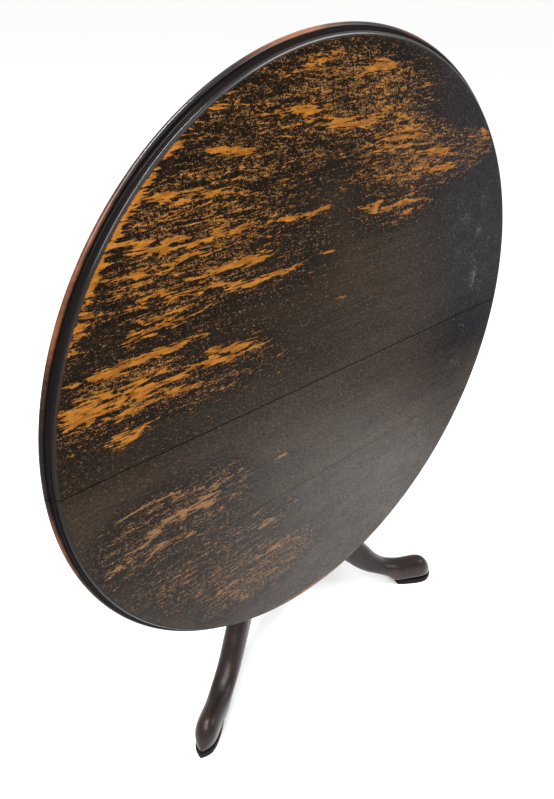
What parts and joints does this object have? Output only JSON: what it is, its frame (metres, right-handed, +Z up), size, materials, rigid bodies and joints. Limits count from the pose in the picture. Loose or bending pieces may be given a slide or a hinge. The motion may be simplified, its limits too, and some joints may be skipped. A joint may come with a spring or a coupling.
{
  "type": "tilt top table",
  "caption": "Round pedestal table whose moulded top tips upright on a block hinge, on a turned column with cabriole legs and pointed feet.",
  "frame": {"origin": "on the floor, under the middle of the whole table as it stands with its top tipped upright", "axes": "+Z up, -Y the way the upright top's face looks, +X to the right of somebody who looks at that face"},
  "size_m": [1.22, 0.7112, 1.39],
  "materials": {
    "worn_painted_oak": "near-black paint rubbed through to ochre wood in streaks along the grain, semi-matt",
    "ebonised_wood": "very dark brown stain under a waxed gloss",
    "sole_wood": "blackened end grain, dull",
    "bare_oak": "unpolished and darkened with age",
    "dark_iron": "forged, brown patina",
    "spring_steel": "dull filed steel",
    "aged_brass": "tarnished, worn bright on edges"
  },
  "bodies": {
    "base": {"block": "bare_oak", "column": "ebonised_wood", "foot_sole_back": "sole_wood", "foot_sole_front_left": "sole_wood", "foot_sole_front_right": "sole_wood", "keeper_plate": "aged_brass", "keeper_screw_left": "aged_brass", "keeper_screw_right": "aged_brass", "leg_back": "ebonised_wood", "leg_front_left": "ebonised_wood", "leg_front_right": "ebonised_wood", "plate_nail_back_1": "dark_iron", "plate_nail_back_2": "dark_iron", "plate_nail_centre": "dark_iron", "plate_nail_front_left_1": "dark_iron", "plate_nail_front_left_2": "dark_iron", "plate_nail_front_right_1": "dark_iron", "plate_nail_front_right_2": "dark_iron", "tenon_wedge": "bare_oak", "tie_plate": "dark_iron"},
    "top": {"bearer_left": "bare_oak", "bearer_right": "bare_oak", "bearer_screw_left_1": "dark_iron", "bearer_screw_left_2": "dark_iron", "bearer_screw_left_3": "dark_iron", "bearer_screw_left_4": "dark_iron", "bearer_screw_right_1": "dark_iron", "bearer_screw_right_2": "dark_iron", "bearer_screw_right_3": "dark_iron", "bearer_screw_right_4": "dark_iron", "catch_case": "aged_brass", "catch_screw_1": "aged_brass", "catch_screw_2": "aged_brass", "catch_screw_3": "aged_brass", "catch_screw_4": "aged_brass", "catch_spring": "spring_steel", "top_board_lower": "worn_painted_oak", "top_board_middle": "worn_painted_oak", "top_board_upper": "worn_painted_oak"},
    "catch": {"catch_bolt": "spring_steel", "catch_knob": "aged_brass"}
  },
  "joints": [
    {"name": "top_tilt", "type": "hinge", "parent": "base", "child": "top", "pos_m": [0, -0.236, 0.658], "axis": [-1, 0, 0], "range_deg": [0, 90]},
    {"name": "catch_draw", "type": "slide", "parent": "top", "child": "catch", "axis": [0, 0, 1], "range_m": [0, 0.008], "stiffness_N_per_m": 400, "springref_m": -0.005, "deforming": ["catch_spring"]}
  ]
}
